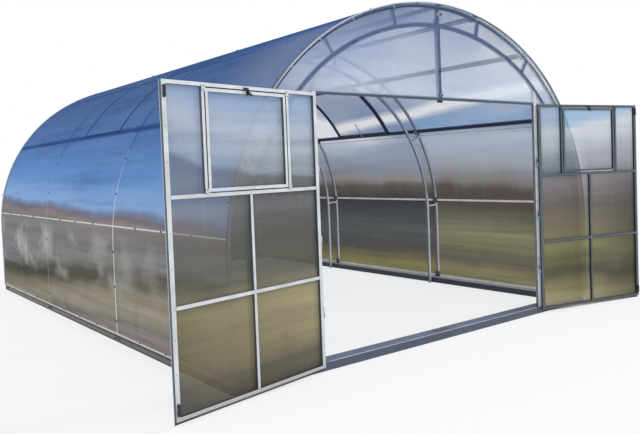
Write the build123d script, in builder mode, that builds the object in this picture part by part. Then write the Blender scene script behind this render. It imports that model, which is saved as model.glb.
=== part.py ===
"""Polycarbonate greenhouse: a tunnel with double tube arches, bent sheets and two front doors.

X runs across the front, Y from the front wall to the back wall, and Z up from the ground.
The origin is on the underside of the base, under the middle of the doorway and level with the
front face of the tube frame.
"""
from build123d import *
from math import asin, cos, radians, sin, sqrt
import os

os.makedirs("parts", exist_ok=True)

# Overall size
width = 4000
bay = 2000
bay_count = 3
wall_height = 793
haunch_radius = 1825
crown_angle = 28.8

# Base of folded sheet steel
base_height = 60
base_width = 130
base_wall = 3
base_lip = 20

# Steel tube of the house
tube = 25
purlin_width = 20
arch_spacing = 152
web_width = 20
web_offset = 58

# Lengthwise tubes, by their distance down the roof from the ridge, or their height over the base
crown_run = 450
upper_run = 1184
haunch_run = 2005
rail_height = 945

# Sheets and their edge strips
sheet = 4
seat_gap = 0.3
sheet_inset = 1
cover_overhang = 40
strip_wall = 3
strip_width = 22

# Connector plates at the crossings
plate_length = 60
plate_reach = 24
plate_thickness = 4
plate_gap = 0.3

# Doorway
opening_width = 2510
lintel_drop = 113
jamb_width = 40
king_width = 40
king_top_width = 20
fish_plate = 3
fish_length = 120
stop_width = 60
stop_drop = 22
stop_thickness = 6
stop_setback = 2
gable_lap = 9

# Door leaves
door_gap = 7
door_tube = 20
stile_width = 30
rail_width = 22
leaf_overlap = 2
leaf_bottom = -26
sheet_drop = 22
mid_rail_height = 1242
lower_rail_height = 615
mullion_width = 20
left_open_angle = 169
right_open_angle = 166

# Vent in each door leaf
vent_width = 670
sash_gap = 8
sash_tube = 20
pane_gap = 4

# Door hinges
hinge_offset = 13
hinge_inset = 9
hinge_reach = 11
hinge_heights = (360, 860, 1360)
knuckle_radius = 6
knuckle_height = 40
knuckle_gap = 0.5
pin_radius = 3.5
pin_clearance = 0.3
flag_thickness = 4
wall_lap = 5

# Door hardware
bolt_width = 14
bolt_depth = 12
bolt_length = 70
bolt_setback = 8
bolt_clearance = 6
bracket_width = 26
bracket_height = 40
bracket_thickness = 4
latch_width = 18
latch_height = 46
latch_thickness = 5
lever_length = 80
lever_width = 12
lever_angle = 35

# Roof vents, in the middle bay
roof_vent_length = 980
roof_vent_tube = 25
stay_width = 14
stay_thickness = 6
stay_length = 200

# Places worked out from the sizes above
half_width = width / 2
length = bay * bay_count
sill_z = base_height
spring_z = sill_z + wall_height
haunch_x = half_width - haunch_radius
sweep_angle = 90 - crown_angle
crown_radius = haunch_radius + haunch_x / sin(radians(crown_angle))
crown_z = spring_z - (crown_radius - haunch_radius) * cos(radians(crown_angle))
crown_part = crown_radius * radians(crown_angle)
haunch_part = haunch_radius * radians(sweep_angle)
inner_face_inset = arch_spacing + tube
jamb_inner = opening_width / 2
jamb_outer = jamb_inner + jamb_width
hinge_x = jamb_inner + hinge_offset
hinge_y = -(sheet + door_gap + hinge_inset)
leaf_end = hinge_x - door_gap / 2
frame_depth = hinge_inset - door_tube
sheet_depth = frame_depth - sheet
patch_reach = haunch_radius / 6
open_angle = {-1: left_open_angle, 1: right_open_angle}
side_name = {-1: "left", 1: "right"}


def save(part, name):
    """Labels one finished piece and writes its file."""
    part.label = name
    export_step(part, f"parts/{name}.step")


def cross_plane(y):
    """Plane across the house at one depth: local x is X and local y is Z."""
    return Plane(origin=(0, y, 0), x_dir=(1, 0, 0), z_dir=(0, -1, 0))


def roof_point(run):
    """Point and outward direction on the right half of the arch, at a run down from the ridge."""
    if run <= crown_part:
        tilt = run / crown_radius
        centre, radius = Vector(0, 0, crown_z), crown_radius
    elif run <= crown_part + haunch_part:
        tilt = radians(90 - sweep_angle) + (run - crown_part) / haunch_radius
        centre, radius = Vector(haunch_x, 0, spring_z), haunch_radius
    else:
        drop = run - crown_part - haunch_part
        return Vector(half_width, 0, spring_z - drop), Vector(1, 0, 0)
    outward = Vector(sin(tilt), 0, cos(tilt))
    return centre + outward * radius, outward


def run_at_height(height):
    """Run down from the ridge to the point of the arch at one height over the ground."""
    if height < spring_z:
        return crown_part + haunch_part + spring_z - height
    return crown_part + haunch_part - haunch_radius * asin((height - spring_z) / haunch_radius)


def arch_height(x, inset):
    """Height over the ground of the arch at one distance from the middle, inset from the frame."""
    if x > haunch_x + (haunch_radius - inset) * cos(radians(sweep_angle)):
        return spring_z + sqrt((haunch_radius - inset) ** 2 - (x - haunch_x) ** 2)
    return crown_z + sqrt((crown_radius - inset) ** 2 - x ** 2)


def roof_plane(run, side, y):
    """Plane across the house at a roof point: local y points out of the house, local z to the back."""
    point, outward = roof_point(run)
    point = Vector(side * point.X, y, point.Z)
    outward = Vector(side * outward.X, 0, outward.Z)
    return Plane(origin=point, x_dir=outward.cross(Vector(0, 1, 0)), z_dir=(0, 1, 0))


def arch_line(inset, foot):
    """Draws the arch from the right foot over the crown to the left foot, inset from the frame."""
    x = half_width - inset
    Line((x, foot), (x, spring_z))
    CenterArc((haunch_x, spring_z), haunch_radius - inset, 0, sweep_angle)
    CenterArc((0, crown_z), crown_radius - inset, sweep_angle, 180 - 2 * sweep_angle)
    CenterArc((-haunch_x, spring_z), haunch_radius - inset, 180 - sweep_angle, sweep_angle)
    Line((-x, spring_z), (-x, foot))


def arch_band(outer, inner, foot):
    """Face between two insets of the arch."""
    with BuildSketch() as band:
        with BuildLine():
            arch_line(outer, foot)
            arch_line(inner, foot)
            for side in (-1, 1):
                Line((side * (half_width - outer), foot), (side * (half_width - inner), foot))
        make_face()
    return band.sketch


def arch_area(inset, foot):
    """Whole face under the arch at one inset."""
    with BuildSketch() as area:
        with BuildLine():
            arch_line(inset, foot)
            Line((inset - half_width, foot), (half_width - inset, foot))
        make_face()
    return area.sketch


def roof_patches(upper, lower):
    """Faces that take in the roof tubes and sheets between two runs, on both slopes."""
    with BuildSketch() as patches:
        for side in (-1, 1):
            corners = []
            for run, out in ((upper, 1), (lower, 1), (lower, -1), (upper, -1)):
                point, outward = roof_point(run)
                corner = point + outward * out * patch_reach
                corners.append((side * corner.X, corner.Z))
            with BuildLine():
                Polyline(*corners, close=True)
            make_face()
    return patches.sketch


def leaf_plane(side, depth):
    """Plane of an open door leaf: local x runs from its hinge to its free edge, local y is up."""
    swing = side * open_angle[side]
    along = Vector(-side, 0, 0).rotate(Axis.Z, swing)
    inward = Vector(0, 1, 0).rotate(Axis.Z, swing)
    origin = Vector(side * hinge_x, hinge_y, 0) + inward * depth
    return Plane(origin=origin, x_dir=along, z_dir=along.cross(Vector(0, 0, 1)))


def bar(x0, x1, y0, y1, mode=Mode.ADD):
    """Draws a rectangle between two x and two y values of the sketch."""
    with Locations(((x0 + x1) / 2, (y0 + y1) / 2)):
        Rectangle(x1 - x0, y1 - y0, mode=mode)


# Arch places, front to back
arch_starts = [0]
arch_names = ["arch_front"]
for number in range(1, bay_count):
    arch_starts.append(number * bay - tube / 2)
    arch_names.append(f"arch_{number + 1}")
arch_starts.append(length - tube)
arch_names.append("arch_back")

# Base: four folded channels with closed ends and lips on the ground, the side ones between the others
base_half = half_width + sheet
side_start = base_width - sheet
side_stop = length - side_start
base_boxes = {
    "base_front": (-base_half, base_half, -sheet, side_start),
    "base_back": (-base_half, base_half, side_stop, length + sheet),
    "base_left": (-base_half, base_width - base_half, side_start, side_stop),
    "base_right": (base_half - base_width, base_half, side_start, side_stop),
}
for name, (x0, x1, y0, y1) in base_boxes.items():
    with BuildPart() as base:
        with BuildSketch():
            bar(x0, x1, y0, y1)
        extrude(amount=base_height)
        with BuildSketch(Plane.XY.offset(base_wall)):
            bar(x0 + base_wall, x1 - base_wall, y0 + base_wall, y1 - base_wall)
        extrude(amount=base_height - 2 * base_wall, mode=Mode.SUBTRACT)
        with BuildSketch():
            bar(x0 + base_lip, x1 - base_lip, y0 + base_lip, y1 - base_lip)
        extrude(amount=base_wall, mode=Mode.SUBTRACT)
    save(base.part, name)

# Arches: an outer and an inner tube with short webs between them, each web just below a crossing
leg_web_run = run_at_height(sill_z + rail_height - web_offset)
web_places = (crown_run + web_offset, upper_run + web_offset, haunch_run + web_offset, leg_web_run)
for name, start in zip(arch_names, arch_starts):
    at_end = start in (arch_starts[0], arch_starts[-1])
    inner_foot = sill_z if at_end else 0
    with BuildPart() as arch:
        with BuildSketch(cross_plane(start)):
            add(arch_band(0, tube, sill_z))
        extrude(amount=-tube)
        with BuildSketch(cross_plane(start)):
            add(arch_band(arch_spacing, inner_face_inset, inner_foot))
        extrude(amount=-tube)
        for run in web_places:
            for side in (-1, 1):
                with BuildSketch(roof_plane(run, side, start)):
                    bar(-web_width / 2, web_width / 2, -inner_face_inset + tube / 2, -tube / 2)
                extrude(amount=tube)
    save(arch.part, name)

# Lengthwise tubes, cut to fit between the arches
wall_rail_run = run_at_height(sill_z + rail_height)
base_rail_run = run_at_height(sill_z + purlin_width / 2)
purlin_runs = {
    "ridge_purlin": 0,
    "crown_purlins": crown_run,
    "upper_purlins": upper_run,
    "haunch_purlins": haunch_run,
    "wall_rails": wall_rail_run,
    "base_rails": base_rail_run,
}
for name, run in purlin_runs.items():
    with BuildPart() as purlin:
        for start, stop in zip(arch_starts, arch_starts[1:]):
            for side in (1,) if run == 0 else (-1, 1):
                with BuildSketch(roof_plane(run, side, start + tube)):
                    bar(-purlin_width / 2, purlin_width / 2, -tube, -seat_gap)
                extrude(amount=stop - start - tube)
    save(purlin.part, name)

# Connector plates inside each crossing of an arch and a lengthwise tube
plate_inset = tube + plate_gap
lowest_plate_run = run_at_height(sill_z + plate_gap + plate_length / 2)
with BuildPart() as connectors:
    for start in arch_starts:
        at_end = start in (arch_starts[0], arch_starts[-1])
        plate_start = max(0, start - plate_reach)
        plate_stop = min(length, start + tube + plate_reach)
        for run in purlin_runs.values():
            if at_end and run == 0:
                continue
            for side in (1,) if run == 0 else (-1, 1):
                with BuildSketch(roof_plane(min(run, lowest_plate_run), side, plate_start)):
                    bar(-plate_length / 2, plate_length / 2, -plate_inset - plate_thickness, -plate_inset)
                extrude(amount=plate_stop - plate_start)
save(connectors.part, "connector_plates")

# Doorway: two jambs up to the inner arch, and a lintel between them, hung from the jamb tops
arch_top = crown_z + crown_radius
lintel_z = arch_height(jamb_inner, inner_face_inset) - lintel_drop - tube
for side in (-1, 1):
    with BuildPart() as jamb:
        with BuildSketch(cross_plane(0)):
            add(arch_area(inner_face_inset, sill_z))
            bar(min(side * jamb_inner, side * jamb_outer), max(side * jamb_inner, side * jamb_outer),
                sill_z, arch_top, mode=Mode.INTERSECT)
        extrude(amount=-tube)
    save(jamb.part, f"jamb_{side_name[side]}")
with BuildPart() as lintel:
    with BuildSketch(cross_plane(0)):
        bar(-jamb_inner, jamb_inner, lintel_z, lintel_z + tube)
    extrude(amount=-tube)
save(lintel.part, "lintel")


def king_post_part(start, foot, plate_back):
    """Post from a rail to the inner arch, a thinner one on to the outer arch, and a fish plate."""
    joint_z = arch_top - arch_spacing - tube / 2
    with BuildPart() as post:
        with BuildSketch(cross_plane(start)):
            add(arch_area(inner_face_inset, sill_z))
            bar(-king_width / 2, king_width / 2, foot, arch_top, mode=Mode.INTERSECT)
        extrude(amount=-tube)
        with BuildSketch(cross_plane(start)):
            add(arch_area(tube, sill_z))
            bar(-king_top_width / 2, king_top_width / 2, foot, arch_top, mode=Mode.INTERSECT)
            add(arch_area(arch_spacing, sill_z), mode=Mode.SUBTRACT)
        extrude(amount=-tube)
        plate_y = start + tube if plate_back else start - fish_plate
        with BuildSketch(cross_plane(plate_y)):
            with Locations((0, joint_z)):
                Rectangle(king_width, fish_length)
        extrude(amount=-fish_plate)
    return post.part


save(king_post_part(0, lintel_z + tube, True), "king_post")

# Stop plate that hangs from the middle of the lintel
with BuildPart() as door_stop:
    with BuildSketch(cross_plane(stop_setback)):
        bar(-stop_width / 2, stop_width / 2, lintel_z - stop_drop, lintel_z)
    extrude(amount=-stop_thickness)
save(door_stop.part, "door_stop")

# Back wall frame: posts, two rails and a king post in one welded panel
back_start = length - tube
rail_z = sill_z + rail_height
with BuildPart() as back_frame:
    with BuildSketch(cross_plane(back_start)):
        for side in (-1, 1):
            bar(min(side * jamb_inner, side * jamb_outer), max(side * jamb_inner, side * jamb_outer),
                sill_z, arch_top)
        add(arch_area(inner_face_inset, sill_z), mode=Mode.INTERSECT)
        bar(-jamb_inner, jamb_inner, rail_z - purlin_width / 2, rail_z + purlin_width / 2)
        bar(-jamb_inner, jamb_inner, lintel_z, lintel_z + tube)
    extrude(amount=-tube)
    add(king_post_part(back_start, lintel_z + tube, False))
save(back_frame.part, "back_frame")

# Roof and wall cover: one bent sheet over each bay, cut out for the roof vents of the middle bay
vent_bay = bay_count // 2
vent_y = (vent_bay + 0.5) * bay - roof_vent_length / 2
vent_upper = upper_run + purlin_width / 2 + seat_gap
vent_lower = haunch_run - purlin_width / 2 - seat_gap
for number in range(bay_count):
    start = number * bay - (cover_overhang if number == 0 else 0)
    stop = (number + 1) * bay + (cover_overhang if number == bay_count - 1 else 0)
    with BuildPart() as cover:
        with BuildSketch(cross_plane(start)):
            add(arch_band(-sheet, 0, sill_z))
        extrude(amount=start - stop)
        if number == vent_bay:
            with BuildSketch(cross_plane(vent_y - seat_gap)):
                add(roof_patches(vent_upper - seat_gap, vent_lower + seat_gap))
            extrude(amount=-roof_vent_length - 2 * seat_gap, mode=Mode.SUBTRACT)
    save(cover.part, f"cover_{number + 1}")

# Edge strips round the front and back edges of the cover
with BuildPart() as strips:
    for edge, inward in ((-cover_overhang, 1), (length + cover_overhang, -1)):
        outer = -sheet - strip_wall
        with BuildSketch(cross_plane(edge)):
            add(arch_band(outer, -sheet, sill_z))
        extrude(amount=-inward * strip_width)
        with BuildSketch(cross_plane(edge)):
            add(arch_band(outer, 0, sill_z))
        extrude(amount=inward * strip_wall)
save(strips.part, "edge_strips")

# End wall sheets: a strip on each side of the doorway, the gable over it, and one whole sheet behind
gable_z = lintel_z + tube - gable_lap
for side in (-1, 1):
    with BuildPart() as strip:
        with BuildSketch(cross_plane(-sheet)):
            add(arch_area(sheet_inset, sill_z))
            edge_x = side * (jamb_outer - wall_lap)
            bar(min(edge_x, side * half_width), max(edge_x, side * half_width), sill_z, gable_z,
                mode=Mode.INTERSECT)
        extrude(amount=-sheet)
    save(strip.part, f"front_wall_{side_name[side]}")
with BuildPart() as gable:
    with BuildSketch(cross_plane(-sheet)):
        add(arch_area(sheet_inset, sill_z))
        bar(-half_width, half_width, gable_z, arch_top, mode=Mode.INTERSECT)
    extrude(amount=-sheet)
save(gable.part, "front_gable")
with BuildPart() as back_wall:
    with BuildSketch(cross_plane(length)):
        add(arch_area(sheet_inset, sill_z))
    extrude(amount=-sheet)
save(back_wall.part, "back_wall")

# Roof vents: a curved tube frame between the purlins, a pane over it and a stay under it
with BuildPart() as vent_frames:
    with BuildSketch(cross_plane(vent_y)):
        add(arch_band(0, roof_vent_tube, sill_z))
        add(roof_patches(vent_upper, vent_lower), mode=Mode.INTERSECT)
    extrude(amount=-roof_vent_length)
    with BuildSketch(cross_plane(vent_y + roof_vent_tube)):
        add(roof_patches(vent_upper + roof_vent_tube, vent_lower - roof_vent_tube))
    extrude(amount=2 * roof_vent_tube - roof_vent_length, mode=Mode.SUBTRACT)
save(vent_frames.part, "roof_vent_frames")
with BuildPart() as vent_panes:
    with BuildSketch(cross_plane(vent_y)):
        add(arch_band(-sheet, 0, sill_z))
        add(roof_patches(vent_upper, vent_lower), mode=Mode.INTERSECT)
    extrude(amount=-roof_vent_length)
save(vent_panes.part, "roof_vent_panes")
with BuildPart() as vent_stays:
    with BuildSketch(cross_plane(vent_y + (roof_vent_length - stay_width) / 2)):
        add(arch_band(roof_vent_tube, roof_vent_tube + stay_thickness, sill_z))
        add(roof_patches(vent_lower - stay_length, vent_lower), mode=Mode.INTERSECT)
    extrude(amount=-stay_width)
save(vent_stays.part, "roof_vent_stays")

# Door leaf levels over the ground
leaf_z0 = sill_z + leaf_bottom
leaf_z1 = lintel_z + leaf_overlap
mid_z = sill_z + mid_rail_height
lower_z = sill_z + lower_rail_height
leaf_middle = (hinge_reach + leaf_end) / 2
vent_x0 = leaf_middle - vent_width / 2
vent_x1 = leaf_middle + vent_width / 2
sash_x0 = vent_x0 + sash_gap
sash_x1 = vent_x1 - sash_gap
sash_z0 = mid_z + rail_width / 2 + sash_gap
sash_z1 = leaf_z1 - rail_width - sash_gap

for side in (-1, 1):
    leaf = f"{side_name[side]}_door"

    # Leaf frame of square tube
    with BuildPart() as frame:
        with BuildSketch(leaf_plane(side, frame_depth)):
            bar(hinge_reach, hinge_reach + stile_width, leaf_z0, leaf_z1)
            bar(leaf_end - stile_width, leaf_end, leaf_z0, leaf_z1)
            bar(hinge_reach, leaf_end, leaf_z0, leaf_z0 + rail_width)
            bar(hinge_reach, leaf_end, leaf_z1 - rail_width, leaf_z1)
            bar(hinge_reach, leaf_end, mid_z - rail_width / 2, mid_z + rail_width / 2)
            bar(hinge_reach, leaf_end, lower_z - rail_width / 2, lower_z + rail_width / 2)
            bar(leaf_middle - mullion_width / 2, leaf_middle + mullion_width / 2, leaf_z0, mid_z)
            bar(vent_x0 - mullion_width, vent_x0, mid_z, leaf_z1)
            bar(vent_x1, vent_x1 + mullion_width, mid_z, leaf_z1)
        extrude(amount=side * door_tube)
    save(frame.part, f"{leaf}_frame")

    # Sheet on the outside of the leaf, cut out round the vent and hanging below the bottom rail
    with BuildPart() as skin:
        with BuildSketch(leaf_plane(side, sheet_depth)):
            bar(hinge_reach, leaf_end, leaf_z0 - sheet_drop, leaf_z1)
            bar(sash_x0 - pane_gap, sash_x1 + pane_gap, sash_z0 - pane_gap, sash_z1 + pane_gap,
                mode=Mode.SUBTRACT)
        extrude(amount=side * sheet)
    save(skin.part, f"{leaf}_sheet")

    # Vent sash and its pane
    with BuildPart() as sash:
        with BuildSketch(leaf_plane(side, frame_depth)):
            bar(sash_x0, sash_x1, sash_z0, sash_z1)
            bar(sash_x0 + sash_tube, sash_x1 - sash_tube, sash_z0 + sash_tube, sash_z1 - sash_tube,
                mode=Mode.SUBTRACT)
        extrude(amount=side * door_tube)
    save(sash.part, f"{leaf}_vent_frame")
    with BuildPart() as pane:
        with BuildSketch(leaf_plane(side, sheet_depth)):
            bar(sash_x0, sash_x1, sash_z0, sash_z1)
        extrude(amount=side * sheet)
    save(pane.part, f"{leaf}_vent_pane")

    # Hardware on the inner face: vent brackets, vent latch and two bolts
    with BuildPart() as hardware:
        bracket_top = min(sash_z1 + sash_gap + rail_width / 2, lintel_z - door_gap)
        for bracket_x in (vent_x0 - mullion_width, vent_x1 + mullion_width - bracket_width):
            with BuildSketch(leaf_plane(side, hinge_inset)):
                bar(bracket_x, bracket_x + bracket_width, bracket_top - bracket_height, bracket_top)
            extrude(amount=side * bracket_thickness)
            with BuildSketch(leaf_plane(side, hinge_inset)):
                bar(bracket_x, bracket_x + bracket_width, sash_z0 - sash_gap - rail_width / 2,
                    sash_z0 + sash_tube)
            extrude(amount=side * bracket_thickness)
        with BuildSketch(leaf_plane(side, hinge_inset)):
            bar(leaf_middle - latch_width / 2, leaf_middle + latch_width / 2,
                bracket_top - latch_height, bracket_top)
        extrude(amount=side * latch_thickness)
        with BuildSketch(leaf_plane(side, hinge_inset + latch_thickness)):
            with Locations(Location((leaf_middle, bracket_top - latch_height / 2), -side * lever_angle)):
                SlotOverall(lever_length, lever_width)
        extrude(amount=side * latch_thickness)
        stile_x = leaf_end - bolt_setback - bolt_width
        top_bolt = lintel_z - stop_drop - bolt_clearance
        low_bolt = sill_z + bolt_clearance
        for bolt_z in (top_bolt - bolt_length, low_bolt):
            with BuildSketch(leaf_plane(side, hinge_inset)):
                bar(stile_x, stile_x + bolt_width, bolt_z, bolt_z + bolt_length)
            extrude(amount=side * bolt_depth)
    save(hardware.part, f"{leaf}_hardware")

    # Hinges: knuckles with flags on the edge of the leaf, and knuckles with pins on the jamb
    axis_x = side * hinge_x
    with BuildPart() as flags:
        for height in hinge_heights:
            knuckle_z = sill_z + height + knuckle_gap
            with BuildSketch(leaf_plane(side, -flag_thickness / 2)):
                bar(0, hinge_reach, knuckle_z, knuckle_z + knuckle_height)
            extrude(amount=side * flag_thickness)
            with BuildSketch(Plane.XY.offset(knuckle_z)):
                with Locations((axis_x, hinge_y)):
                    Circle(knuckle_radius)
            extrude(amount=knuckle_height)
            with BuildSketch(Plane.XY.offset(knuckle_z)):
                with Locations((axis_x, hinge_y)):
                    Circle(pin_radius + pin_clearance)
            extrude(amount=knuckle_height, mode=Mode.SUBTRACT)
    save(flags.part, f"{leaf}_hinges")
    with BuildPart() as pins:
        for height in hinge_heights:
            knuckle_z = sill_z + height - knuckle_height
            with BuildSketch(Plane.XY.offset(knuckle_z)):
                with Locations((axis_x, hinge_y)):
                    Circle(knuckle_radius)
                flag_x = axis_x + side * knuckle_radius
                bar(min(axis_x, flag_x), max(axis_x, flag_x), hinge_y, 0)
            extrude(amount=knuckle_height)
            with BuildSketch(Plane.XY.offset(sill_z + height)):
                with Locations((axis_x, hinge_y)):
                    Circle(pin_radius)
            extrude(amount=knuckle_gap + knuckle_height)
    save(pins.part, f"{side_name[side]}_hinge_pins")
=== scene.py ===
import math

import bmesh
import bpy
from mathutils import Matrix, Vector


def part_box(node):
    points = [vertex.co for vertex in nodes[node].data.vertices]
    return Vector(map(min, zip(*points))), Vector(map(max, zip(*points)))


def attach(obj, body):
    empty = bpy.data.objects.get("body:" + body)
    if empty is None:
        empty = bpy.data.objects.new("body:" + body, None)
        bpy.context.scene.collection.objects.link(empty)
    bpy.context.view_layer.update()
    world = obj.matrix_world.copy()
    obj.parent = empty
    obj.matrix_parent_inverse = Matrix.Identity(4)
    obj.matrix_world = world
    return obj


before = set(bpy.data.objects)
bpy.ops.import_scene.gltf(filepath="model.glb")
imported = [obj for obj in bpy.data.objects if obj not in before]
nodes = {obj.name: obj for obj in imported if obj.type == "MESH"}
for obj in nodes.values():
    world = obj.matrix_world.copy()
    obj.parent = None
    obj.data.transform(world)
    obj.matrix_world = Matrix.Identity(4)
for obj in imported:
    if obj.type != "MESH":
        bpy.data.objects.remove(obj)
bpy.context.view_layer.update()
scene = bpy.context.scene

# Main sizes of the house, in metres
half_width = 2.0
house_length = 6.0
bay_length = 2.0
arch_lines = (0.0125, 2.0, 4.0, 5.9875)
spring_z = 0.853
haunch_radius = 1.825
haunch_x = 0.175
crown_angle = math.radians(28.8)
crown_radius = 2.1881
crown_z = 0.5348
crown_part = crown_radius * crown_angle
haunch_part = haunch_radius * (math.pi / 2 - crown_angle)
cover_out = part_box("cover_2")[1].x - half_width
half_tube = 0.0125

# Heights of the tubes that the sheets lie on, how far the crown tubes are from the ridge, and other heights
base_rail_z = 0.07
wall_rail_z = 1.005
haunch_tube_z = 1.842
upper_tube_z = 2.410
crown_tube_x = 0.447
doorway_top_z = 2.0
soil_height = 0.16
# Along the arch from the ridge: the lengthwise tubes, and the webs between an arch's two tubes
tube_runs = (0.45, 1.184, 2.005, 2.897)
web_runs = (0.508, 1.242, 2.063)
# Inward from the arch's outer face: the middle of its inner tube, and the gap between the two tubes
inner_tube_in = 0.1645
gap_middle, gap_half = 0.088, 0.064

# Door leaves, -1 on the left and 1 on the right
sides = (-1, 1)
side_name = {-1: "left", 1: "right"}
leaf_hinge = {side: Vector((side * 1.268, -0.02, 0)) for side in sides}
leaf_angle = {-1: math.radians(169), 1: math.radians(166)}
leaf_width = 1.25


# Placing helpers
def outline(run, out=0.0):
    """A point on the frame's outer face and its outward direction, at a run along it from the ridge."""
    side = 1 if run >= 0 else -1
    s = abs(run)
    if s <= crown_part:
        a = s / crown_radius
        x, z = crown_radius * math.sin(a), crown_z + crown_radius * math.cos(a)
    elif s <= crown_part + haunch_part:
        a = crown_angle + (s - crown_part) / haunch_radius
        x, z = haunch_x + haunch_radius * math.sin(a), spring_z + haunch_radius * math.cos(a)
    else:
        a = math.pi / 2
        x, z = half_width, spring_z - (s - crown_part - haunch_part)
    way = Vector((side * math.sin(a), 0, math.cos(a)))
    return Vector((side * x, 0, z)) + way * out, way


def roof_place(run, y, out=0.0):
    """The same at a place y along the house."""
    point, way = outline(run, out)
    point.y = y
    return point, way


def leaf_axes(side):
    """Directions of an open leaf: along it from the hinge, inward through it, and up."""
    turn = Matrix.Rotation(side * leaf_angle[side], 3, "Z")
    along = turn @ Vector((-side, 0, 0))
    inward = turn @ Vector((0, 1, 0))
    return along, inward, Vector((0, 0, 1))


def on_leaf(side, s, depth, z):
    along, inward, up = leaf_axes(side)
    return leaf_hinge[side] + along * s + inward * depth + up * z


# Materials
def linear(r, g, b):
    """A colour written in 0 to 255 display values, as scene values."""
    parts = []
    for c in (r, g, b):
        c /= 255
        parts.append(c / 12.92 if c <= 0.04045 else ((c + 0.055) / 1.055) ** 2.4)
    return (*parts, 1)


def gained(colour, gain, lift=0.0):
    """A scene colour made brighter or darker."""
    return (*(min(1.0, c * gain + lift) for c in colour[:3]), 1)


def sign(operation, swapped=False):
    """One of Amount's signs of arithmetic, as a Math node."""
    def method(self, other=0.0):
        pair = (other, self) if swapped else (self, other)
        return self.tree.math(operation, *pair)
    return method


class Amount:
    """A number that a node tree works out, with the usual signs of arithmetic."""

    def __init__(self, tree, socket):
        self.tree, self.socket = tree, socket

    __add__ = __radd__ = sign("ADD")
    __mul__ = __rmul__ = sign("MULTIPLY")
    __sub__ = sign("SUBTRACT")
    __rsub__ = sign("SUBTRACT", swapped=True)
    __truediv__ = sign("DIVIDE")
    __mod__ = sign("MODULO")
    __abs__ = sign("ABSOLUTE")
    __lt__ = sign("LESS_THAN")
    __gt__ = sign("GREATER_THAN")

    def held(self):
        """Keeps the number between 0 and 1."""
        self.socket.node.use_clamp = True
        return self


def above(value, start, rate):
    """0 up to start, then growing to 1 at a rate."""
    return ((value - start) * rate).held()


def below(value, end, rate):
    """Shrinking at a rate, to 0 from end on."""
    return ((end - value) * rate).held()


def near(value, middle, half):
    """1 within half of the middle, else 0."""
    return abs(value - middle) < half


class Nodes:
    """The node tree of a material or world, the colour so far, and short calls that add to them."""

    def __init__(self, owner):
        owner.use_nodes = True
        self.owner, self.nodes, self.links = owner, owner.node_tree.nodes, owner.node_tree.links
        self.nodes.clear()
        self.colour = None

    def add(self, kind, inputs=None, **settings):
        """A new node; its inputs, by name or number, are plain values or what other nodes give."""
        node = self.nodes.new("ShaderNode" + kind)
        for key, value in settings.items():
            setattr(node, key, value)
        for key, value in (inputs or {}).items():
            if isinstance(value, Amount):
                value = value.socket
            if isinstance(value, bpy.types.NodeSocket):
                self.links.new(value, node.inputs[key])
            else:
                node.inputs[key].default_value = value
        return node

    def math(self, operation, a, b=0.0):
        return Amount(self, self.add("Math", {0: a, 1: b}, operation=operation).outputs[0])

    def most(self, first, *others):
        """The largest of some numbers."""
        for other in others:
            first = self.math("MAXIMUM", first, other)
        return first

    def vector(self, operation, a, b=(0, 0, 0)):
        """What a vector operation gives, a number or a vector."""
        node = self.add("VectorMath", {0: a, 1: b}, operation=operation)
        if operation in ("DOT_PRODUCT", "DISTANCE"):
            return Amount(self, node.outputs["Value"])
        return node.outputs[0]

    def split(self, vector):
        """The x, y and z of a vector."""
        return [Amount(self, part) for part in self.add("SeparateXYZ", {0: vector}).outputs]

    def choose(self, share, a, b):
        """The number a, or b where share is 1."""
        return Amount(self, self.add("Mix", {0: share, 2: a, 3: b}, data_type="FLOAT").outputs[0])

    def mix(self, share, a, b, blend="MIX"):
        return self.add("Mix", {0: share, 6: a, 7: b}, data_type="RGBA", blend_type=blend).outputs[2]

    def paint(self, share, colour, blend="MIX"):
        """Lays a colour over the colour so far."""
        self.colour = self.mix(share, self.colour, colour, blend)

    def ramp(self, value, stops):
        """A colour ramp; each stop is (value, colour), from 0 to 1."""
        node = self.add("ValToRGB", {0: value})
        elements = node.color_ramp.elements
        while len(elements) < len(stops):
            elements.new(0.5)
        for element, (place, colour) in zip(elements, stops):
            element.position = place
            element.color = colour
        return node

    def steps(self, value, *stops):
        """A number that goes from stop to stop; each stop is (value, number)."""
        greys = [(place, (grey, grey, grey, 1)) for place, grey in stops]
        return Amount(self, self.ramp(value, greys).outputs[0])

    def noise(self, vector, scale, detail=2.0, rough=0.5):
        inputs = {"Vector": vector, "Scale": scale, "Detail": detail, "Roughness": rough}
        return Amount(self, self.add("TexNoise", inputs).outputs[0])

    def cells(self, vector, scale):
        return self.add("TexVoronoi", {"Vector": vector, "Scale": scale}, feature="F1").outputs

    def place(self, scale=(1, 1, 1), turn=0.0):
        """Object coordinates, turned about Z and scaled."""
        where = self.add("TexCoord").outputs["Object"]
        return self.add("Mapping", {"Vector": where, "Rotation": (0, 0, turn), "Scale": scale}).outputs[0]

    def facing(self, way):
        """How far the face looks in a direction, from -1 to 1."""
        return self.vector("DOT_PRODUCT", self.add("TexCoord").outputs["Normal"], way)

    def seen(self):
        """1 for rays from the camera, mirrored rays and rays that pass through a sheet."""
        ray = self.add("LightPath").outputs
        return self.most(ray["Is Camera Ray"], ray["Is Glossy Ray"], ray["Is Transmission Ray"])

    def surface(self, relief, deep, height, inputs):
        """A Principled shader with the colour so far, fine relief and other inputs by name."""
        bump = self.add("Bump", {"Strength": relief, "Distance": deep, "Height": height})
        inputs = {"Base Color": self.colour, "Normal": bump.outputs[0], **inputs}
        return self.add("BsdfPrincipled", inputs).outputs[0]

    def blend(self, share, first, second):
        """Two shaders, mixed."""
        return self.add("MixShader", {0: share, 1: first, 2: second}).outputs[0]

    def close(self, shader, kind="OutputMaterial"):
        self.add(kind, {0: shader})
        return self.owner


def new_material(name):
    return Nodes(bpy.data.materials.new(name))


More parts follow.
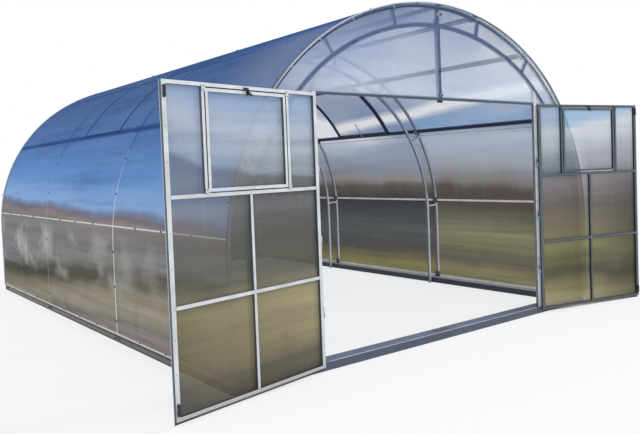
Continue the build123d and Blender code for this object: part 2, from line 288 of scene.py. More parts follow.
def metal(name, tone, metallic, rough=0.42, patina=0.25, mud=0.9, rims=False, legs=None, legs_fade=0.0,
          flat=None, shade=0.0, dark=(34, 40, 50)):
    """Galvanised steel: faint spangle, cloudy oxide, thin rain streaks, and soil near the ground.

    Legs is the tone below the doorway's top; the faces aside of flat get painted shade, of the given strength
    and dark colour."""
    m = new_material(name)
    spangle = Amount(m, m.add("SeparateColor", {0: m.cells(m.place(), 130.0)["Color"]}).outputs[0])
    cloud = m.noise(m.place(), 7.0, 4.0, 0.6)
    streak = m.noise(m.place((60, 60, 2.5)), 1.0, 3.0)
    base = linear(*tone)
    dull = gained(base, 0.72)
    m.colour = m.mix(m.steps(cloud, (0.35, 0), (0.7, 1)), dull, base)
    m.paint(spangle * patina, gained(base, 1.22, 0.03))
    m.paint(m.steps(streak, (0.55, 0), (0.75, 1)) * 0.22, dull)
    height = m.split(m.place())[2]
    if legs:
        # the part below the doorway's top is lighter, less so above the wall rail
        bright = below(height, doorway_top_z, 4.0) * (1.0 - above(height, 0.98, 6.0) * legs_fade)
        m.paint(bright, linear(*legs))
    low = (1.0 - height / soil_height).held()
    m.paint((low * (cloud * mud)).held(), linear(70, 68, 60))
    if rims:
        # painted shadow along the foot where it meets the ground, and a painted shadow line under the covers'
        # edge, with the height in tenths of a metre
        rim = m.steps(height * 10.0, (0.00, 1), (0.11, 1), (0.16, 0), (0.39, 0), (0.45, 1), (0.70, 1))
        m.paint(rim * 0.9, linear(34, 34, 40))
    if flat:
        # painted shade: the faces that look away from this direction are darkened as if shaded
        m.paint((abs(m.facing(flat)) < 0.6) * shade, linear(*dark))
    grain = m.noise(m.place(), 260.0, 3.0)
    inputs = {"Metallic": metallic, "Roughness": cloud * 0.25 + (rough - 0.1)}
    return m.close(m.surface(0.25, 0.0004, grain, inputs))


def plain(name, tone, rough=0.6, metallic=0.0, vary=0.3, shine=0.5):
    """Rubber, paint or moulded plastic with cloudy wear and a fine grain."""
    m = new_material(name)
    base = linear(*tone)
    cloud = m.noise(m.place(), 14.0, 4.0, 0.65)
    m.colour = m.mix(cloud * vary, base, gained(base, 1.5, 0.02))
    grain = m.noise(m.place(), 270.0, 2.0)
    inputs = {"Metallic": metallic, "Roughness": rough, "Specular IOR Level": shine}
    return m.close(m.surface(0.2, 0.0004, grain, inputs))


class Sheet(Nodes):
    """Clear twin-wall plastic. Its colour, a painted sky and land, and its clearness change with height and
    differ on its two sides.

    Without an outward direction it is a bent sheet, which faces away from the middle of the house."""

    tint_height = 2.8
    flute_pitch = 0.011
    curve_middle = (0, 0, 0.85)

    def __init__(self, name, flute="X", turn=0.0, outward=None):
        super().__init__(bpy.data.materials.new(name))
        self.flute, self.turn, self.bent = flute, turn, outward is None
        self.where = self.place()
        self.across, self.depth, self.height = self.split(self.where)
        if self.bent:
            outward = self.vector("SUBTRACT", self.where, self.curve_middle)
            outward = self.vector("NORMALIZE", self.vector("MULTIPLY", outward, (1, 0, 1)))
        facing = self.facing(outward)
        self.outer = facing > 0.0
        self.inner = 1.0 - self.outer
        self.edge = abs(facing) < 0.4
        self.drift = self.pattern((0.5, 0.5, 1.2), 1.5, 4.0, 0.55)
        self.opacity = None

    def pattern(self, stretch, scale, detail, rough):
        """Noise that lies along the sheet."""
        return self.noise(self.place(stretch, self.turn), scale, detail, rough)

    def hills(self, sway, lumps):
        """How far the painted sky and land wander up and down from place to place."""
        lump = self.pattern((1.5, 1.5, 0.3), 1.0, 3.0, 0.55)
        return (self.drift - 0.5) * sway + (lump - 0.5) * lumps

    def tint(self, outside, inside, wander):
        """Colour and opacity by height, the colours a painted sky and land. Each stop is (height, display
        colour, opacity).
        """
        level = (self.height + wander) / self.tint_height
        ramps = []
        for stops in (outside, inside):
            stops = [(z / self.tint_height, (*linear(*rgb)[:3], opacity)) for z, rgb, opacity in stops]
            ramps.append(self.ramp(level, stops).outputs)
        out_ramp, in_ramp = ramps
        self.colour = self.mix(self.outer, in_ramp[0], out_ramp[0])
        self.opacity = self.choose(self.outer, in_ramp[1], out_ramp[1])

    def wear(self, streaks):
        """Soft bands across the sheet, finer ones low down, and thin rain streaks along its flutes."""
        white = (1, 1, 1, 1)
        bands = self.pattern((0.5, 0.5, 9.0), 1.0, 4.0, 0.6)
        soft = self.ramp(bands, ((0.30, (0.72, 0.73, 0.76, 1)), (0.5, white), (0.7, white)))
        self.paint(0.85, soft.outputs[0], "MULTIPLY")
        fine = self.pattern((0.6, 0.6, 24.0), 1.0, 4.0, 0.65)
        fine = self.ramp(fine, ((0.30, (0.62, 0.61, 0.62, 1)), (0.5, white), (0.70, (1.35, 1.35, 1.25, 1))))
        strength = 0.6 - self.outer * 0.22 if self.bent else 0.3
        self.paint(below(self.height, 1.0, 2.5) * strength, fine.outputs[0], "MULTIPLY")
        self.paint(self.steps(bands, (0.52, 0), (0.72, 1)) * 0.22, linear(236, 234, 226), "SOFT_LIGHT")
        stretch = [70 if axis == self.flute else 1.4 for axis in "XYZ"]
        wet = self.steps(self.pattern(stretch, 1.0, 3.0, 0.6), (0.54, 0), (0.72, 1))
        wet = wet * (above(self.height, 0.9, 2.0) * 0.85 + 0.15)
        if self.bent:
            wet = wet * (1.0 - self.outer * 0.85)
        self.paint(wet * (streaks * 0.6), linear(222, 228, 234))

    def specks(self, amount):
        """Small dry drops, in patches."""
        drop = Amount(self, self.cells(self.place(turn=self.turn), 42.0)["Distance"]) < 0.12
        patch = self.noise(self.place(), 3.0, 3.0) > 0.52
        self.paint(drop * (patch * (self.height > 0.66)) * amount, linear(206, 206, 200))

    def clouds(self, amount):
        """Painted sky: pale clouds high up, and in a bent sheet one long bright streak on the right, seen
        from inside, a painted reflection.
        """
        puff = self.steps(self.pattern((0.9, 0.45, 1.6), 1.5, 4.0, 0.5), (0.42, 0), (0.64, 1))
        high = above(self.height, 1.55, 3.0)
        if self.bent:
            high = high * self.inner
        puff = puff * high * amount
        if self.bent:
            streak_z = 2.17 - self.depth * 0.06
            off = self.height - streak_z + (self.drift - 0.5) * 0.12
            streak = (1.35 - abs(off) / 0.07).held() * (self.across > 0.0)
            puff = self.most(puff, streak * self.inner * 0.85)
            self.opacity = self.opacity * (1.0 - puff * 0.7)
        self.paint(puff, linear(238, 242, 246))

    def flutes(self):
        """The fine ribs between the two walls of the sheet."""
        local = self.place(turn=self.turn)
        scale = 2 * math.pi / (20 * self.flute_pitch)
        wave = self.add("TexWave", {"Vector": local, "Scale": scale}, bands_direction=self.flute)
        self.wave = Amount(self, wave.outputs[1])
        self.paint(self.wave * 0.14, (0.35, 0.36, 0.38, 1), "MULTIPLY")

    def finish(self, shine=0.25, lamp_share=0.75):
        """Pale cut edges, fine relief, and lamp light that mostly passes through."""
        edge_tone = linear(196, 204, 210)
        if self.bent:
            edge_tone = self.mix(above(self.height, 1.5, 4.0), edge_tone, linear(40, 84, 146))
        self.paint(self.edge, edge_tone)
        opacity = self.most(self.opacity, self.edge * 0.9)
        inputs = {"Roughness": 0.25, "IOR": 1.45, "Specular IOR Level": shine, "Alpha": opacity}
        shader = self.surface(0.3, 0.0006, self.wave, inputs)
        lamp_ray = Amount(self, self.add("LightPath").outputs["Is Shadow Ray"])
        return self.close(self.blend(lamp_ray * lamp_share, shader, self.add("BsdfTransparent").outputs[0]))

    # Cover sheets
    def along_house(self):
        """How far a cover's painted sky and land shift along the house."""
        drop = (self.depth - 3.4) * 0.064 * below(self.height, 0.95, 4.0) * self.outer
        return drop + above(self.height, 0.6, 3.0) * ((house_length / 2 - self.depth) * 0.022)

    def far_bays(self):
        """The foot changes tone along the house, and outside pale broken glare lies below the wall rail."""
        away = (self.depth / house_length).held() * below(self.height, 0.55, 5.0)
        self.paint(away, linear(240, 242, 252), "MULTIPLY")
        glare = self.steps(self.noise(self.place((0.0, 1.1, 1.5)), 1.7, 2.5), (0.49, 0), (0.68, 1))
        waist = self.steps(self.height, (0.36, 0), (0.5, 1), (0.85, 1), (0.98, 0))
        further = (self.depth * 0.2).held() * 0.75
        self.paint(glare * waist * self.outer * further, linear(208, 207, 200))

    def tube_lines(self):
        """The tubes that a cover lies on: painted shadows along them inside; outside a painted highlight of
        them low down, and painted shade of them on the blue.
        """
        def soft(value, middle, half):
            return ((1.0 - abs(value - middle) / half) * 1.7).held()

        height = self.height
        # the slope and the ridge look paler from inside towards the crown, more so on the right
        sunny = (self.across * 0.34 + 0.40).held()
        self.paint(above(height, 2.1, 3.0) * sunny * self.inner, linear(226, 229, 237))

        from_arch = (self.depth + bay_length / 2) % bay_length - bay_length / 2
        # painted highlight: the arch legs and the rails behind the sheet show bright from outside
        leg = near(from_arch, 0.0, 0.0095) * (1.0 - (height - 0.95) * 1.2).held()
        leg = leg * (1.0 - (self.depth - 2.0) * 0.33).held()
        bright = self.most(leg, near(height, wall_rail_z, 0.006), near(height, base_rail_z, 0.007))
        bright = bright * self.outer
        ragged = self.noise(self.place((9, 9, 9)), 1.0, 4.0, 0.75) * 0.066
        # painted shade: the tubes and their shadows show dark through the blue outside
        dark = self.most(soft(height, haunch_tube_z, ragged), soft(height, upper_tube_z, 0.011),
                         soft(from_arch, 0.0, 0.018) * (height > 1.66))
        from_ridge = abs(self.across)
        # painted shadows along the tubes and the ridge, seen from inside
        inside = self.most(near(height, haunch_tube_z, 0.021), near(height, upper_tube_z, 0.018),
                           near(from_ridge, crown_tube_x, 0.026), near(from_ridge, 0.0, 0.026))
        # a painted reflection of the haunch tube just below it, seen from inside
        echo = near(height, haunch_tube_z - 0.056, 0.006) * (self.inner * 0.55)
        dark = self.most(dark * 0.58 * self.outer, inside * self.inner * 0.9, echo)
        self.paint(bright * 0.8, linear(226, 226, 224))
        self.paint(dark, linear(10, 42, 100))
        self.opacity = self.most(self.opacity, self.most(bright, dark) * 0.9)

    def end_lips(self):
        """Where a cover passes the end arches: a pale lip, a painted shadow behind it and a duller stretch
        near it, a painted reflection.
        """
        past_end = abs(self.depth - house_length / 2) - house_length / 2
        lip = past_end > 0.003
        self.paint(lip * 0.85, self.rim_tone(linear(214, 224, 234), linear(84, 114, 160)))
        behind = near(past_end, 0.002, 0.012) * self.outer
        self.paint(behind * 0.85, linear(34, 52, 92))
        # painted reflection: a duller stretch near the front end
        dull = below(self.depth, 1.1, 1.2) * above(self.height, 1.3, 1.5) * (self.outer * 0.5)
        self.paint(dull * (1.0 - lip) * below(self.height, 2.54, 9.0), linear(132, 143, 168))

    def rim_tone(self, low, high):
        """The tone of the front arch's rim: bluer towards the top, less so on the right, where it is a
        painted highlight.
        """
        top = above(self.height, 2.15, 2.4) * (1.25 - self.across).held()
        return self.mix(top, low, high)

    # Front gable
    def glow(self):
        """The right part of the gable is paler, a painted reflection broken into ragged patches."""
        ragged = self.steps(self.noise(self.place((5.0, 5.0, 1.4)), 1.6, 5.0, 0.65), (0.30, 0.45), (0.70, 1))
        amount = (self.across * 0.62).held() * ragged
        self.paint(amount, linear(244, 247, 250))
        self.opacity = self.most(self.opacity, amount * 0.44)

    def arch_lines(self):
        """The gable lies on the two tubes of the arch, its webs and the king post, and shows them clearly."""
        height, across = self.height, self.across
        from_middle = abs(across)
        spot = self.add("CombineXYZ", {0: from_middle, 2: height}).outputs[0]
        crown = self.vector("DISTANCE", spot, (0, 0, crown_z))
        haunch = self.vector("DISTANCE", spot, (haunch_x, 0, spring_z))
        on_crown = from_middle < (height - crown_z) * math.tan(crown_angle)
        inset = self.choose(on_crown, haunch_radius - haunch, crown_radius - crown)

        post = from_middle < half_tube
        hold = self.most(post, near(inset, inner_tube_in, half_tube))
        between = near(inset, gap_middle, gap_half)
        crown_web = web_runs[0] / crown_radius
        haunch_web = crown_angle + (web_runs[1] - crown_part) / haunch_radius
        webs = []
        for middle_x, middle_z, angle in ((0.0, crown_z, crown_web), (haunch_x, spring_z, haunch_web)):
            off = (from_middle - middle_x) * math.cos(angle) - (height - middle_z) * math.sin(angle)
            webs.append((abs(off) < 0.015) * between)
        webs = self.most(*webs)
        # painted shadows where the sheet lies on the inner tube, the king post and the webs
        mark = self.most(near(inset, inner_tube_in, 0.020), from_middle < 0.0165, webs)
        self.paint(mark * 0.9, linear(84, 108, 150))
        # between the two tubes the left part is bluer
        between = between * (1.0 - webs) * below(across, 0.3, 1.2) * above(height, 2.2, 3.0)
        self.paint(between * 0.75, linear(82, 102, 150))
        # painted reflection: the left half is darker and bluer
        left_half = below(across, -0.1, 0.5)
        self.paint(left_half, linear(146, 160, 188))
        # the outer tube shows as a pale rim, painted as lit, with a dark line inside it
        rim = inset < 0.018
        rim_line = near(inset, 0.022, 0.006)
        self.paint(rim, self.rim_tone(linear(220, 230, 240), linear(120, 146, 186)))
        self.paint(rim_line, linear(66, 84, 112))
        opacity = (self.opacity + between * 0.22 + left_half * 0.66) * (1.0 - hold * 0.6)
        self.opacity = self.most(opacity, self.most(rim, rim_line) * 0.62, (mark - hold) * 0.45)

    # Door leaves
    def along_leaf(self, hinge, way):
        """How far the painted land on a leaf's inner side rises towards its free end."""
        self.reach = self.vector("DOT_PRODUCT", self.vector("SUBTRACT", self.where, hinge), way)
        self.share = (self.reach / leaf_width).held()
        return (self.share - 0.5) * 0.17 * above(self.height, 1.2, 4.0) * self.inner

    def sweep(self, first, last, top):
        """Inside and up to a height, painted light and shade along a leaf: lighter near its hinges, darker
        towards its free end.
        """
        gain = self.share * (last - first) + first
        gain = self.add("CombineColor", {0: gain, 1: gain, 2: gain}).outputs[0]
        self.paint(below(self.height, top, 4.0) * self.inner, gain, "MULTIPLY")

    def clearer(self, share):
        """Inside and near the hinges a leaf is clearer low down, and paler high up."""
        part = below(self.reach, 0.65, 6.0) * below(self.height, 1.6, 4.0) * self.inner
        paler_high = below(self.reach, 0.34, 8.0) * above(self.height, 1.35, 4.0) * self.inner * 0.6
        self.paint(paler_high, linear(204, 208, 214))
        self.opacity = self.opacity * (1.0 - part * (1 - share))


# Metals, rubber and small parts
lengthways = (0, 1, 0)
upward = (0, 0, 1)
# The galvanised steel is one metal; these copies of it, and the base's copies, differ in tone as painted
# light and shade, lighter where lit and darker where in shade
zinc_rail = metal("zinc_rail", (250, 251, 252), 0.1, 0.4, mud=0.15)
zinc_mid = metal("zinc_mid", (150, 164, 182), 0.5)
zinc_arch = metal("zinc_arch", (150, 166, 192), 0.05, flat=lengthways, shade=0.85, legs=(246, 249, 252),
                  legs_fade=0.62)
zinc_front = metal("zinc_front", (78, 100, 138), 0.35, flat=lengthways, shade=0.5, legs=(214, 220, 222))
zinc_jamb = metal("zinc_jamb", (236, 239, 243), 0.25, 0.4, flat=lengthways, shade=0.8)
zinc_dark = metal("zinc_dark", (72, 90, 114), 0.45, 0.45)
zinc_black = metal("zinc_black", (16, 34, 66), 0.35, 0.5)
base_zinc = metal("base_zinc", (112, 112, 120), 0.4, 0.45, patina=0.18, rims=True)
base_flat = metal("base_flat", (206, 208, 214), 0.3, 0.45, patina=0.18, mud=0.4, flat=upward, shade=0.95,
                  dark=(32, 38, 58))
base_front_zinc = metal("base_front_zinc", (140, 148, 172), 0.3, 0.45, patina=0.18, mud=0.4, flat=upward,
                        shade=0.8, dark=(62, 68, 86))
# painted light and shade: the left leaf's steel is a lit copy, the right leaf's a darker shaded copy
leaf_zinc = {
    -1: metal("left_leaf_zinc_lit", (218, 222, 226), 0.3, 0.4, flat=tuple(leaf_axes(-1)[1]), shade=0.94,
              dark=(52, 62, 74)),
    1: metal("right_leaf_zinc_shaded", (86, 98, 106), 0.4, 0.45, flat=tuple(leaf_axes(1)[1]), shade=0.95,
             dark=(28, 36, 44)),
}
strip_grey = metal("strip_grey", (192, 202, 216), 0.1, 0.4, mud=0.3, flat=lengthways, shade=0.85,
                   dark=(50, 68, 104))
plate_dark = metal("plate_dark", (46, 50, 54), 0.5, 0.45, patina=0.12)
bolt_zinc = metal("bolt_zinc", (176, 180, 184), 0.7, 0.35, patina=0.1)
bolt_dark = plain("bolt_dark", (34, 36, 40), 0.45, metallic=0.5)
washer_pale = plain("washer_pale", (206, 212, 220), 0.35, vary=0.2)
washer_blue = plain("washer_blue", (84, 100, 128), 0.35, vary=0.2)
rubber = plain("rubber", (44, 46, 50), 0.75, vary=0.4)
seal_blue = plain("seal_blue", (24, 48, 96), vary=0.25, shine=0.03)

# Sheets of the roof. The middle and far bays differ from the first one only as seen from inside
# Colours by height: a painted sky and land, reflected outside and seen through from inside
roof_out = [
    (0.00, (156, 146, 142), 0.80), (0.10, (136, 128, 120), 0.80), (0.22, (166, 158, 136), 0.80),
    (0.36, (138, 130, 108), 0.82), (0.44, (97, 93, 81), 0.84), (0.52, (96, 93, 86), 0.84),
    (0.62, (141, 141, 141), 0.80), (0.97, (137, 133, 133), 0.80), (1.04, (156, 142, 138), 0.80),
    (1.09, (130, 124, 132), 0.80), (1.14, (124, 138, 172), 0.80), (1.19, (142, 178, 222), 0.80),
    (1.45, (101, 145, 203), 0.82), (1.85, (82, 116, 168), 0.86), (2.2, (78, 106, 152), 0.90),
    (2.45, (76, 102, 150), 0.92), (2.60, (50, 82, 140), 0.92)]
roof_in = [
    (0.00, (172, 160, 100), 0.78), (0.16, (172, 162, 102), 0.78), (0.30, (114, 102, 78), 0.78),
    (0.38, (134, 130, 88), 0.78), (0.60, (168, 166, 118), 0.78), (0.80, (126, 122, 96), 0.80),
    (0.97, (98, 84, 70), 0.82), (1.16, (102, 84, 72), 0.80), (1.26, (160, 150, 144), 0.74),
    (1.50, (204, 210, 216), 0.64), (1.78, (210, 232, 250), 0.56), (1.90, (116, 194, 255), 0.60),
    (2.15, (116, 190, 250), 0.56), (2.40, (116, 186, 250), 0.46), (2.72, (104, 178, 250), 0.46)]


def middle_gain(z):
    """How much brighter or darker the bays behind the first are, in red, green and blue."""
    if z <= 0.3:
        return 0.98, 0.98, 0.82
    if z < 0.99:
        return 0.54, 0.58, 0.80
    if z < 1.3:
        return 1.10, 1.12, 1.12
    return 0.78, 0.86, 0.93


middle_in = [(z, tuple(int(c * gain) for c, gain in zip(rgb, middle_gain(z))), a) for z, rgb, a in roof_in]


def cover_sheet(name, inside, clouds):
    sheet = Sheet(name, "Y")
    sheet.tint(roof_out, inside, sheet.hills(0.12, 0.16) + sheet.along_house())
    sheet.wear(0.25)
    sheet.clouds(clouds)
    sheet.flutes()
    sheet.far_bays()
    sheet.tube_lines()
    sheet.end_lips()
    return sheet.finish(shine=0.0)


def vent_sheet():
    sheet = Sheet("roof_vent_sheet", "Y")
    sheet.tint(roof_out, middle_in, sheet.hills(0.12, 0.05))
    sheet.wear(0.25)
    sheet.clouds(0.12)
    sheet.flutes()
    return sheet.finish(shine=0.0)


# Sheets of the end walls and the door leaves
# Colours by height: a painted sky and land, reflected and seen through
wall_stops = [
    (0.00, (120, 112, 86), 0.62), (0.45, (118, 114, 98), 0.60), (1.05, (118, 114, 112), 0.58),
    (1.40, (156, 162, 172), 0.48), (1.75, (206, 218, 234), 0.40), (2.20, (180, 202, 230), 0.34),
    (2.50, (130, 158, 204), 0.26), (2.72, (110, 138, 190), 0.22)]
gable_stops = [
    (1.40, (156, 162, 172), 0.40), (1.95, (214, 228, 246), 0.30), (2.20, (188, 208, 238), 0.22),
    (2.50, (138, 162, 210), 0.20), (2.72, (116, 144, 194), 0.16)]
leaf_in = {
    -1: [(0.00, (64, 60, 52), 0.78), (0.20, (92, 86, 72), 0.76), (0.36, (138, 128, 98), 0.72),
         (0.62, (158, 148, 114), 0.62), (0.76, (112, 111, 98), 0.52), (1.00, (106, 105, 100), 0.46),
         (1.22, (132, 130, 130), 0.44), (1.45, (124, 124, 130), 0.46), (1.48, (172, 182, 192), 0.42),
         (1.66, (210, 218, 226), 0.42), (1.96, (158, 188, 220), 0.42)],
    1: [(0.00, (66, 68, 66), 0.88), (0.03, (150, 144, 116), 0.86), (0.16, (150, 142, 104), 0.88),
        (0.34, (80, 78, 58), 0.90), (0.56, (124, 122, 84), 0.88), (0.80, (112, 104, 84), 0.84),
        (0.98, (98, 92, 86), 0.82), (1.22, (122, 114, 116), 0.76), (1.38, (128, 132, 142), 0.64),
        (1.52, (142, 150, 160), 0.56), (1.64, (180, 188, 196), 0.54), (1.76, (200, 206, 214), 0.54),
        (1.86, (134, 184, 224), 0.55), (1.96, (118, 174, 222), 0.56)],
}
leaf_out = [
    (0.00, (66, 64, 58), 0.80), (0.10, (122, 116, 92), 0.78), (0.34, (108, 102, 80), 0.78),
    (0.58, (140, 134, 104), 0.74), (0.80, (108, 106, 92), 0.68), (1.00, (98, 94, 90), 0.66),
    (1.22, (122, 118, 118), 0.62), (1.45, (132, 136, 146), 0.56), (1.60, (178, 186, 196), 0.48),
    (1.76, (206, 212, 220), 0.46), (1.88, (160, 192, 224), 0.46), (1.96, (150, 184, 222), 0.46)]
front_way = Vector((0, -1, 0))


def wall_sheet():
    sheet = Sheet("wall_sheet_flat", outward=tuple(front_way))
    sheet.tint(wall_stops, wall_stops, sheet.hills(0.25, 0.05))
    sheet.wear(0.5)
    sheet.clouds(0.5)
    sheet.flutes()
    return sheet.finish()


def gable_sheet():
    sheet = Sheet("gable_sheet", outward=tuple(front_way))
    sheet.tint(gable_stops, gable_stops, sheet.hills(0.25, 0.05))
    sheet.wear(0.6)
    sheet.clouds(0.4)
    sheet.flutes()
    sheet.glow()
    sheet.arch_lines()
    return sheet.finish()


def leaf_sheet(side):
    along, inward = leaf_axes(side)[:2]
    sheet = Sheet(side_name[side] + "_leaf_sheet", turn=-math.atan2(along.y, along.x), outward=tuple(-inward))
    rise = sheet.along_leaf(tuple(leaf_hinge[side]), tuple(along))
    sheet.tint(leaf_out, leaf_in[side], sheet.hills(0.24, 0.16) - rise)
    sheet.wear(0.2)
    if side < 0:
        sheet.specks(0.35)
    sheet.flutes()
    if side < 0:
        sheet.sweep(1.60, 0.62, top=0.80)
    else:
        sheet.sweep(1.88, 0.42, top=1.45)
        sheet.clearer(0.60)
    return sheet.finish()


def dress(node, material):
    slots = nodes[node].data.materials
    slots.clear()
    slots.append(material)


wall_mat = wall_sheet()
dressing = (
    (base_zinc, ("base_back", "base_left")),
    (base_flat, ("base_right",)),
    (base_front_zinc, ("base_front",)),
    (zinc_arch, ("arch_2", "arch_3", "arch_back")),
    (zinc_front, ("arch_front", "king_post")),
    (zinc_jamb, ("jamb_left", "jamb_right", "back_frame")),
    (zinc_mid, ("ridge_purlin", "crown_purlins", "left_hinge_pins", "right_hinge_pins")),
    (zinc_rail, ("wall_rails", "base_rails")),
    (zinc_black, ("upper_purlins", "haunch_purlins", "roof_vent_frames")),
    (zinc_dark, ("lintel",)),
    (bolt_zinc, ("roof_vent_stays",)),
    (plate_dark, ("door_stop", "connector_plates")),
    (strip_grey, ("edge_strips",)),
    (cover_sheet("cover_1_sheet", roof_in, 0.25), ("cover_1",)),
    (cover_sheet("cover_2_sheet", middle_in, 0.9), ("cover_2",)),
    (cover_sheet("cover_3_sheet", middle_in, 0.5), ("cover_3",)),
    (vent_sheet(), ("roof_vent_panes",)),
    (wall_mat, ("front_wall_left", "front_wall_right", "back_wall")),
    (gable_sheet(), ("front_gable",)),
)
for material, dressed in dressing:
    for node in dressed:
        dress(node, material)

leaf_mid = 0.63775
bracket_end = 1.1
latch_half = 0.2
for side in sides:
    door = side_name[side] + "_door_"
    leaf_mat = leaf_sheet(side)
    for part in ("frame", "vent_frame", "hinges"):
        dress(door + part, leaf_zinc[side])
    for part in ("sheet", "vent_pane"):
        dress(door + part, leaf_mat)
    # of the hardware, only the latches in the middle and at the free end are dark
    dress(door + "hardware", plate_dark)
    hardware = nodes[door + "hardware"]
    hardware.data.materials.append(leaf_zinc[side])
    for face in hardware.data.polygons:
        s = (face.center - leaf_hinge[side]).dot(leaf_axes(side)[0])
        face.material_index = 1 if s < bracket_end and abs(s - leaf_mid) > latch_half else 0


# Detail pieces
class Piece:
    """One named piece, built up from small solids."""

    def __init__(self, name, body, slot, material):
        self.name, self.body, self.slot, self.material = name, body, slot, material
        self.bm = bmesh.new()

    def block(self, centre, size, axes=None, bevel=0.0):
        """A box with rounded edges; axes are its three directions."""
        verts = bmesh.ops.create_cube(self.bm, size=1.0)["verts"]
        turn = Matrix(axes).transposed() if axes else Matrix.Identity(3)
        move = Matrix.Translation(centre) @ turn.to_4x4() @ Matrix.Diagonal((*size, 1))
        bmesh.ops.transform(self.bm, matrix=move, verts=verts)
        if bevel:
            edges = list({e for v in verts for e in v.link_edges})
            bmesh.ops.bevel(self.bm, geom=edges, offset=bevel, segments=2, affect="EDGES", profile=0.5)

    def lathe(self, foot, way, profile, sides=14):
        """A turned solid standing on foot along way; profile is (radius, height) pairs."""
        way = Vector(way).normalized()
        a = way.orthogonal().normalized()
        b = way.cross(a)
        rings = []
        for radius, height in profile:
            ring = []
            for i in range(sides):
                t = 2 * math.pi * i / sides
                at = foot + way * height + (a * math.cos(t) + b * math.sin(t)) * radius
                ring.append(self.bm.verts.new(at))
            rings.append(ring)
        self.skin(rings)

    def band(self, side, runs, ys, outs, steps=2):
        """A strip that follows the roof's curve, solid between two runs, two y values and two heights."""
        corners = ((ys[0], outs[0]), (ys[1], outs[0]), (ys[1], outs[1]), (ys[0], outs[1]))
        rings = []
        for i in range(steps + 1):
            run = side * (runs[0] + (runs[1] - runs[0]) * i / steps)
            rings.append([self.bm.verts.new(roof_place(run, y, out)[0]) for y, out in corners])
        self.skin(rings)

    def skin(self, rings):
        """Faces from ring to ring, closed at both ends."""
        count = len(rings[0])
        for low, high in zip(rings, rings[1:]):
            for i in range(count):
                j = (i + 1) % count
                self.bm.faces.new((low[i], low[j], high[j], high[i]))
        self.bm.faces.new(list(reversed(rings[0])))
        self.bm.faces.new(rings[-1])

    def done(self):
        mesh = bpy.data.meshes.new(self.name)
        bmesh.ops.recalc_face_normals(self.bm, faces=self.bm.faces)
        self.bm.to_mesh(mesh)
        self.bm.free()
        mesh.materials.append(self.material)
        obj = bpy.data.objects.new(self.name, mesh)
        scene.collection.objects.link(obj)
        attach(obj, self.body)


def dome(radius, rim, top_radius, height):
    """A rivet's or pan head's profile."""
    return (radius, 0), (radius, rim), (top_radius, height)


washer_profile = ((0.0105, 0.0), (0.0105, 0.0016), (0.0088, 0.0034), (0.0062, 0.0042))
head_profile = ((0.0052, 0.0030), (0.0052, 0.0080), (0.0038, 0.0092))
bolt_profile = ((0.0100, 0.0), (0.0100, 0.0020), (0.0065, 0.0021), (0.0065, 0.0072), (0.0052, 0.0084))
along_y = Vector(lengthways)


def fix_sheet(places, name, body="house", washer=washer_pale):
    """Screws with wide washers that hold a sheet down, at (point, outward direction) places."""
    washers = Piece(name + "_washers", body, "edge_strip", washer)
    heads = Piece(name + "_screws", body, "dark_steel", bolt_dark)
    for point, way in places:
        washers.lathe(point, way, washer_profile, 16)
        heads.lathe(point, way, head_profile, 6)
    washers.done()
    heads.done()


# Screws of the covers, on the arches and along the lengthwise tubes; none where the roof vents are
base_screw_run = 3.822
arch_screw_runs = (0.22, 0.72, 1.0, 1.45, 1.75, 2.3, 2.62, 3.12, 3.42, 3.72)
places = []
for side in sides:
    for y in arch_lines:
        for run in arch_screw_runs:
            places.append(roof_place(side * run, y, cover_out))
    for run in (*tube_runs, base_screw_run):
        for bay in range(3):
            if bay == 1 and run in tube_runs[1:3]:
                continue
            for step in (0.5, 1.0, 1.5):
                places.append(roof_place(side * run, bay * bay_length + step, cover_out))
fix_sheet(places, "cover", washer=washer_blue)


def on_arch(x):
    """The middle of the end arches' outer tube at a place across the house."""
    low, high = 0.0, 3.0
    while high - low > 0.0005:
        middle = (low + high) / 2
        if outline(middle, -half_tube)[0].x < abs(x):
            low = middle
        else:
            high = middle
    return outline(math.copysign(low, x), -half_tube)[0]


# Screws of the end walls, over the tubes behind them
wall_out = 0.004
wall_side_x = half_width - 0.015
wall_foot_z = 0.074
arch_screws_x = (-1.45, -1.20, -0.89, -0.48, 0.48, 0.82, 1.20, 1.45, -1.68, 1.68)
for name, y, way in (("front", -wall_out, front_way), ("back", house_length + wall_out, along_y)):
    places = []
    for x in arch_screws_x:
        point = on_arch(x)
        places.append((Vector((point.x, y, point.z)), way))
    for side in sides:
        for z in (0.16, 0.52, 0.88, 1.24):
            places.append((Vector((side * wall_side_x, y, z)), way))
        for x in (1.42, 1.70, 1.90):
            places.append((Vector((side * x, y, wall_foot_z)), way))
    fix_sheet(places, name + "_wall")

# Bolts on the connector plates, welds of the arch webs
inside_plate = -0.0293
foot_plate_run = 3.8118
plate_bolts = ((0, 0.019), (0, -0.019), (0.0245, 0), (-0.0245, 0))
weld_size = (0.027, 0.0235, 0.003)
weld_outs = (-0.0265, -0.1505)
bolts = Piece("connector_bolts", "house", "dark_steel", bolt_zinc)
beads = Piece("arch_welds", "house", "galvanised_tube", bolt_zinc)
for side in sides:
    for y in arch_lines:
        for run in (*tube_runs, foot_plate_run):
            point, way = roof_place(side * run, y, inside_plate)
            down = along_y.cross(way)
            for dy, dt in plate_bolts:
                if 0.02 < y + dy < house_length - 0.02:
                    bolts.lathe(point + down * dt + along_y * dy, -way, bolt_profile, 6)
        for run in web_runs:
            for out in weld_outs:
                point, way = roof_place(side * run, y, out)
                beads.block(point, weld_size, (along_y.cross(way), along_y, way), 0.0014)
bolts.done()
beads.done()

